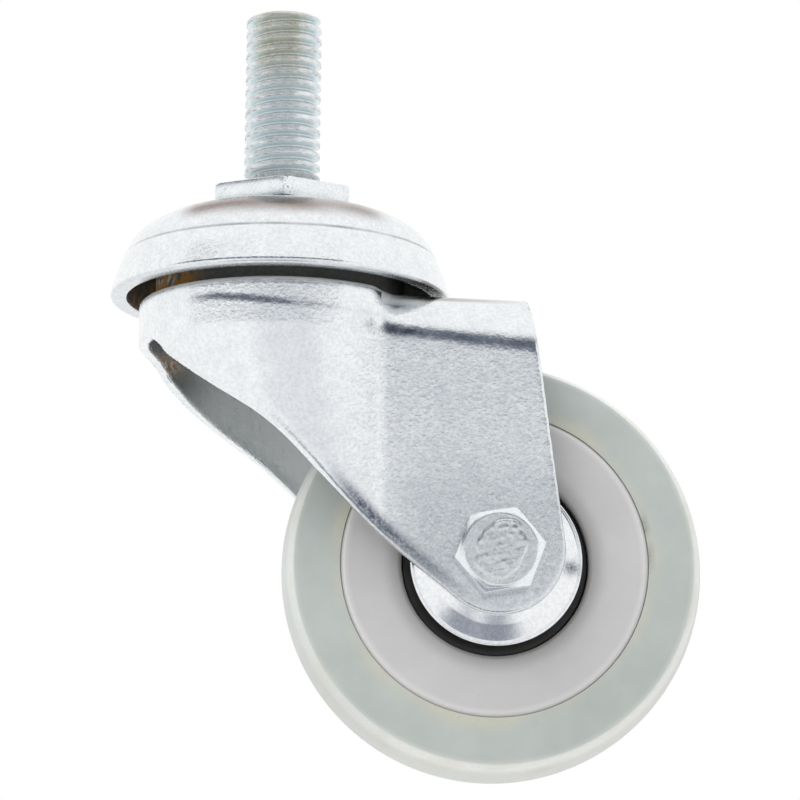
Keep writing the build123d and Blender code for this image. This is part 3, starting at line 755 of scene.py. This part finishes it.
def fork_marks(points):
    """Marks on the fork. On the near side, painted reflections: the dark line along the crown's step, the
    band along the bend, the one along the rear edge of the leg and the brown line on top of the plate,
    and painted light, pale and matt, on the crown's shoulder and the plate under the cover. On both: the
    grain of the leg, painted shade with grease in the gap under the cover, painted shade on the inner
    wall towards the back and the top, and the greasy inner wall, pale and matt as painted light."""
    x, y, z = points.T
    r = np.hypot(x, y)
    side = side_distance(x, y, z)
    outer = np.abs(envelope(x, y, z, 0.0, 0.0)) < 0.6
    inner = (np.abs(envelope(x, y, z, SHEET, 0.0)) < 0.3) * (r > 6) * (side < -0.15) * 1.0
    gap = smooth(-14.95, -14.45, z) * (r < 16.6)

    # Painted reflections on the near side: dark lines along the crown's step, along the bend and along the
    # rear edge of the leg, where the metal mirrors dark things.
    along_crown = smooth(-12.5, -7.5, x) * (0.25 + 0.75 * smooth(2.5, -2.5, x)) * smooth(14.0, 12.5, x)
    crown_reflection = bell(z - joggle_height(x), 0.26) * along_crown * (y < -8) * outer
    bend_line = z + 20.3 + 0.091 * (x - 13.5)
    bend_reflection = bell(bend_line, 0.85) * smooth(12.0, 13.6, x) * (y < -12.0) * outer
    bend_reflection = bend_reflection * (1 + 1.2 * smooth(18.5, 16.0, x))
    along_leg = smooth(5.0, 10.0, x) * smooth(25.0, 18.0, x) * smooth(-34, -39, z)
    rear_edge_reflection = bell(side + 0.95, 0.8) * along_leg * outer * (y < 0)
    reflection_streak = crown_reflection * (0.6 + 0.3 * waves(points, 4, 23))
    reflection_streak = reflection_streak + bend_reflection * (0.32 + 0.3 * waves(points, 2, 21)) + rear_edge_reflection

    leg_grain = smooth(11.0, 19.0, x) * (np.abs(y) > 13.2) * smooth(-19.2, -23.2, z) * outer
    olive = bell(x + 13.6, 1.5) * bell(z + 20.6, 1.15)
    # Painted reflection: a brown line along the top of the plate's bend on the near side.
    plate_edge_reflection = np.interp(x, [12.6, 15, 17, 19.5, 22, 24.5, 27, 29, 30.2],
                           [0.05, 0.35, 0.7, 0.84, 0.7, 0.58, 0.4, 0.28, 0.13])
    plate_edge_reflection = plate_edge_reflection * smooth(-1.5, -0.8, z - PLATE_TOP) * (y < -3) * outer
    # Painted light: pale matt zinc on the crown's shoulder and on the plate under the cover, where the
    # metal would mirror light.
    lit_shoulder = smooth(-15.5, -15.2, z) * (r > 14.5) * (x < 12.2)
    lit_plate = smooth(-17.4, -16.4, z) * (x > 12.2) * (y < -8) * smooth(19.0, 16.0, x) * (r > 14)
    pale = outer * (y < 0) * (lit_shoulder + lit_plate) * (1 - plate_edge_reflection)
    crust = smooth(-12.6, -14.2, x) * smooth(-0.3, 0.3, waves(points, 0.8, 47))
    gap_grease = smooth(-9.0, -13.0, x) * gap * smooth(-0.5, 0.3, waves(points, 1.6, 27))
    wall_grease = inner * (y > 0) * olive * smooth(-0.7, 0.0, waves(points, 0.8, 28))
    # Painted shade: the inner wall darkens towards the back and the top, under the crown, less so on the
    # grease.
    inner_wall_shade = inner * smooth(-5.5, -13.5, x) * smooth(-29.0, -22.0, z) * 0.8 * (1 - 0.7 * olive)
    return {
        "reflection_streak": np.clip(reflection_streak, 0, 1),
        "grain": np.clip(leg_grain * (0.12 + 0.45 * smooth(-33, -44, z)), 0, 1),
        # painted light: the inner wall pale and matt, so that it looks lit
        "inside": np.clip(inner * (0.8 + 0.25 * waves(points, 0.9, 29)) + pale, 0, 1),
        "grease": np.clip(gap_grease + wall_grease, 0, 1),
        "tint": plate_edge_reflection,
        # painted shade with grease: the wall seen through the gap under the cover is near black, less so on
        # the crust
        "dirt": np.clip(gap * (0.95 - 0.75 * crust) + inner_wall_shade, 0, 1),
    }


points, quads = fork_surface()
make_piece("fork_sheet", points, [quads], "fork", "fork", PRESSED_ZINC, fork_marks(points))


# Axle bolt and nut
def near_side(p):
    """Head points (x, y, height) on to the near face of the near leg."""
    return np.column_stack([AXLE_X + p[:, 0], -LEG_FACE - p[:, 2], AXLE_Z + p[:, 1]])


def far_side(p):
    """Nut points (x, y, height) on to the far face of the far leg."""
    return np.column_stack([AXLE_X + p[:, 0], LEG_FACE + p[:, 2], AXLE_Z + p[:, 1]])


def worn_patch(radius, angle):
    """Worn raised patch in the middle of the head: an uneven oval about 5.7 by 7.4 mm across and
    0.09 mm high, finely wrinkled, with a few lumps at its upper end."""
    lean = math.radians(62)
    along = radius * np.cos(angle - lean)
    across = radius * np.sin(angle - lean)
    p = np.stack([along, across, 0 * along], -1)
    oval = np.hypot(along / 3.7, across / 2.85) + 0.06 * waves(p, 2.6, 31)
    lumps = smooth(1.7, 2.6, along) * smooth(1.05, 0.9, oval) * np.clip(waves(p, 0.8, 37), 0, 1)
    height = 0.09 + 0.006 * waves(p, 0.5, 33) + 0.012 * waves(p, 1.2, 34)
    return smooth(1.05, 0.95, oval) * height + 0.1 * lumps + 0.004 * waves(p, 0.9, 36)


points, faces = hexagon_head(
    BOLT_ACROSS_FLATS, low=0.0, high=4.1, rim=4.45, inner=0.0, corner_angle=10.0, place=near_side,
    face_shape=worn_patch)
radius = np.hypot(points[:, 0] - AXLE_X, points[:, 2] - AXLE_Z)
face = smooth(4.5, 4.3, radius) * (points[:, 1] < -17.3)
marks = {"dirt": face * 0.25, "speck": face * 0.25}
make_piece("axle_bolt_head", points, faces, "fork", "axle_bolt", TURNED_ZINC, marks)

shank = rounded([(0, -13.9, 0), (2.98, -13.9, 0), (2.98, 20.18, 0.5), (0, 20.18, 0)], closed=False)
points, faces = turn_surface(refine(shank, 1.0, False), 64, "y", False)
make_piece("axle_bolt_shank", points, faces, "fork", None, TURNED_ZINC)

points, faces = hexagon_head(
    NUT_ACROSS_FLATS, low=0.02, high=5.0, rim=4.8, inner=3.05, corner_angle=0.0, place=far_side)
make_piece("axle_nut_body", points, faces, "fork", "axle_nut", TURNED_ZINC)


# Thread guards, bearing cups, core and tyre
def guard_profile(sign):
    """Dished cap: hub face on the leg, cone, flat rim with a rounded edge and the inside of the sheet."""
    corners = [(3.12, 12.28, 0.1), (6.3, 12.28, 0.8), (8.3, 10.95, 3.0), (10.1, 10.1, 0.6),
               (10.58, 10.08, 0.25), (10.58, 9.32, 0.3), (9.8, 9.32, 0.4), (5.95, 11.5, 0.4),
               (3.12, 11.5, 0.1)]
    return refine(rounded([(r, sign * y, bend) for r, y, bend in corners]), 0.4)


def cup_profile(sign):
    """Bearing cup: a sleeve in the core with a flange on its face."""
    corners = [(7.15, 4.0, 0), (9.58, 4.0, 0), (9.58, 6.22, 0), (11.48, 6.22, 0), (11.48, 6.98, 0.25),
               (7.15, 6.98, 0.25)]
    return refine(rounded([(r, sign * y, bend) for r, y, bend in corners]), 0.5)


def core_profile():
    """Core disc: bores, recesses, faces with rounded recess edges and a small bevel at the rim."""
    half = [(6.0, 4.0, 0.2), (9.6, 4.0, 0), (9.6, 6.2, 0), (11.5, 6.2, 0.15), (11.5, 7.85, 0.35),
            (11.95, 8.08, 0.4), (18.5, 7.52, 0.15), (18.97, 7.1, 0.1)]
    other_half = [(r, -y, bend) for r, y, bend in reversed(half)]
    return refine(rounded(half + other_half), 0.6)


def tyre_profile():
    """Tyre ring: bore on the core, slightly coned side walls, rounded shoulders and a crowned tread,
    whose radius falls with the square of the distance from the middle."""
    side = [(19.02, -7.33, 0.05), (24.75, -6.62, 0.35), (25.2, -5.9, 0.5)]
    tread = [(26.03 - 0.83 * (t / 5.9) ** 2, t, 0) for t in np.linspace(-5.0, 5.0, 21)]
    other_side = [(r, -y, bend) for r, y, bend in reversed(side)]
    return refine(rounded(side + tread + other_side), 0.5)


def tyre_marks(points):
    """Marks on the tyre: a whitish tread, cream stains by the core and the shoulder, a painted cream
    highlight in a ring round the core, and soiling in the joint to the right of the axle and on the far
    shoulder."""
    across, down = points[:, 0] - AXLE_X, points[:, 2] - AXLE_Z
    radius = np.hypot(across, down)
    angle = np.degrees(np.arctan2(down, across))
    # A paler tread, less so on its left side.
    paler_tread = smooth(24.45, 24.9, radius) * (1 - 0.35 * smooth(25.3, 25.7, radius))
    wide_stain = smooth(21.5, 19.2, radius) * smooth(-0.1, 0.9, waves(points, 14, 41))
    # Painted highlight: a cream ring just outside the core.
    ring_highlight = 0.55 * smooth(20.4, 19.6, radius) * (0.7 + 0.5 * waves(points, 6, 45))
    edge_stain = 0.3 * smooth(24.0, 24.5, radius) * smooth(0.2, 0.9, waves(points, 5, 43))
    joint = bell(radius - 19.2, 0.3) * smooth(-4, 2, angle) * smooth(27, 20, angle)
    far_shoulder = smooth(5.1, 5.9, points[:, 1]) * (radius > 24.4) * 0.7
    return {
        "tread": paler_tread * (1 - 0.4 * smooth(-0.3, -0.9, across / radius)),
        "stain_and_reflection": np.clip(wide_stain + ring_highlight + edge_stain, 0, 1),
        "dirt": np.clip(joint * (0.7 + 0.5 * waves(points, 2, 44)) + far_shoulder, 0, 1),
    }


for sign, word in ((-1, "near"), (1, "far")):
    points, faces = turn_surface(guard_profile(sign), 192, "y")
    # Painted reflection: a dark blue-grey patch on the right of the cap's rim.
    marks = {"stain_and_reflection": bell(points[:, 0] - 35.9, 1.1) * bell(points[:, 2] + 49.1, 0.9)}
    make_piece("guard_cap_" + word, points, faces, "fork", "thread_guard_" + word,
               GUARD_PLATE, marks)
    points, faces = turn_surface(cup_profile(sign), 160, "y")
    make_piece("cup_ring_" + word, points, faces, "wheel", "bearing_cup_" + word,
               BLACK_PLASTIC)

points, faces = turn_surface(core_profile(), 256, "y")
radius = np.hypot(points[:, 0] - AXLE_X, points[:, 2] - AXLE_Z)
# Painted highlight: a pale ring along the bevelled edge.
marks = {"shade": smooth(14.2, 11.6, radius) * 0.75, "edge": bell(radius - 18.6, 0.22)}
make_piece("core_disc", points, faces, "wheel", "wheel_core", CORE_PLASTIC, marks)

points, faces = turn_surface(tyre_profile(), 320, "y")
make_piece("tyre_ring", points, faces, "wheel", "tyre", TYRE_RUBBER, tyre_marks(points))

for name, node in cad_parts.items():
    if not node.hide_render:
        node.data.materials.clear()
        node.data.materials.append(BALL_STEEL if "ball" in name else RACE_STEEL)

# Camera, at the photograph's angle and roll. The focal length is in pixels of the 800 pixel picture.
AZIMUTH = -2.8
ELEVATION = -12.05
ROLL = 0.6
DISTANCE = 600.0
FOCAL_LENGTH = 4790.7
PICTURE_WIDTH = 800
TARGET = Vector((15.23, 0.0, -26.28)) * MM


def direction_of(azimuth, elevation):
    """Unit vector from the object towards an azimuth, where 0 is -Y and it grows towards +X, and an
    elevation above the horizon, both in degrees."""
    a, e = math.radians(azimuth), math.radians(elevation)
    return Vector((math.sin(a) * math.cos(e), -math.cos(a) * math.cos(e), math.sin(e)))


back = direction_of(AZIMUTH, ELEVATION)
level_right = (-back).cross(Vector((0, 0, 1))).normalized()
level_up = level_right.cross(-back)
roll = math.radians(ROLL)
right = level_right * math.cos(roll) + level_up * math.sin(roll)
up = level_up * math.cos(roll) - level_right * math.sin(roll)
camera_data = bpy.data.cameras.new("camera")
camera_data.sensor_fit = "HORIZONTAL"
camera_data.sensor_width = 36.0
camera_data.lens = camera_data.sensor_width * FOCAL_LENGTH / PICTURE_WIDTH
camera_data.clip_start = 0.01
camera_data.clip_end = 5.0
camera = bpy.data.objects.new("camera", camera_data)
bpy.context.scene.collection.objects.link(camera)
place = Matrix((right, up, back)).transposed().to_4x4()
place.translation = TARGET + back * DISTANCE * MM
camera.matrix_world = place
bpy.context.scene.camera = camera


# World: white to the camera, and to the metal a white studio with a few darker zones
def dim_zone(tree, direction, level, azimuth, elevation, inner, outer, colour):
    """Paints a round zone of the world about a direction: full within inner degrees of it and gone
    beyond outer."""
    towards = direction_of(azimuth, elevation)
    angle = add_node(tree, "ShaderNodeVectorMath", {0: direction, 1: towards}, operation="DOT_PRODUCT")
    zone = add_node(tree, "ShaderNodeMapRange", {
        "Value": angle.outputs["Value"], "From Min": math.cos(math.radians(outer)),
        "From Max": math.cos(math.radians(inner))}, interpolation_type="SMOOTHSTEP")
    return add_node(tree, "ShaderNodeMix", {
        "Factor": zone.outputs[0], 6: level, 7: colour}, data_type="RGBA").outputs[2]


def dark_band(tree, direction, level, colour):
    """Paints a band of the world in front and to the left, between elevations of about 16 and 41
    degrees: the product of a smooth step along the front and one at each edge in height."""
    parts = add_node(tree, "ShaderNodeSeparateXYZ", {0: direction})
    front = add_node(tree, "ShaderNodeMath", {0: parts.outputs[1], 1: -1.0}, operation="MULTIPLY")
    leftward = add_node(tree, "ShaderNodeMath", {
        0: parts.outputs[0], 1: -0.3, 2: front.outputs[0]}, operation="MULTIPLY_ADD")
    band = None
    for value, low, high in ((leftward.outputs[0], 0.38, 0.52), (parts.outputs[2], 0.27, 0.31),
                             (parts.outputs[2], 0.66, 0.60)):
        edge = add_node(tree, "ShaderNodeMapRange", {
            "Value": value, "From Min": low, "From Max": high}, interpolation_type="SMOOTHSTEP").outputs[0]
        if band is not None:
            edge = add_node(tree, "ShaderNodeMath", {0: band, 1: edge}, operation="MULTIPLY").outputs[0]
        band = edge
    return add_node(tree, "ShaderNodeMix", {
        "Factor": band, 6: level, 7: colour}, data_type="RGBA").outputs[2]


world = bpy.data.worlds.new("studio")
bpy.context.scene.world = world
world.use_nodes = True
tree = world.node_tree
tree.nodes.clear()
direction = add_node(tree, "ShaderNodeTexCoord").outputs["Generated"]
level = (1.05, 1.05, 1.05, 1)
level = dim_zone(tree, direction, level, azimuth=2, elevation=10, inner=14, outer=36,
                 colour=(0.88, 0.89, 0.91, 1))
level = dark_band(tree, direction, level, (0.13, 0.15, 0.20, 1))
level = dim_zone(tree, direction, level, azimuth=-26, elevation=-37, inner=6, outer=18,
                 colour=(0.3, 0.32, 0.38, 1))
level = dim_zone(tree, direction, level, azimuth=6, elevation=-46, inner=8, outer=20,
                 colour=(0.27, 0.29, 0.35, 1))
studio = add_node(tree, "ShaderNodeBackground", {"Color": level, "Strength": 1.0})
white = add_node(tree, "ShaderNodeBackground", {"Color": (1, 1, 1, 1), "Strength": 1.0})
path = add_node(tree, "ShaderNodeLightPath")
choice = add_node(tree, "ShaderNodeMixShader", {
    0: path.outputs["Is Camera Ray"], 1: studio.outputs[0], 2: white.outputs[0]})
add_node(tree, "ShaderNodeOutputWorld", {"Surface": choice.outputs[0]})

# Key light: a soft box in metres and watts, which looks at the middle of the object
KEY_PLACE = (-0.35, -0.45, 0.5)
key_data = bpy.data.lights.new("key", "AREA")
key_data.shape = "RECTANGLE"
key_data.size = 0.6
key_data.size_y = 0.6
key_data.energy = 3.0
key = bpy.data.objects.new("key", key_data)
bpy.context.scene.collection.objects.link(key)
key.location = KEY_PLACE
key.rotation_euler = (Vector(KEY_PLACE) - TARGET).to_track_quat("Z", "Y").to_euler()
key.visible_glossy = False

# Floor: in metres, below the camera, which stands lower than the wheel. Pressed uncoated paper has no
# gloss, so it only sends pale light up to the underside.
FLOOR_HALF = 5.0
FLOOR_HEIGHT = -0.3
floor_mesh = bpy.data.meshes.new("floor")
signs = ((-1, -1), (1, -1), (1, 1), (-1, 1))
floor_corners = [(FLOOR_HALF * a, FLOOR_HALF * b, FLOOR_HEIGHT) for a, b in signs]
floor_mesh.from_pydata(floor_corners, [], [(0, 1, 2, 3)])
paper, tree = new_material("matt pale studio paper")[:2]
finish_surface(tree, rgb("#E6E6E4"), 0.0, 0.9, None, 0.0)
floor_mesh.materials.append(paper)
floor = bpy.data.objects.new("floor", floor_mesh)
bpy.context.scene.collection.objects.link(floor)
floor.visible_glossy = False

bpy.context.scene.view_settings.view_transform = "Standard"
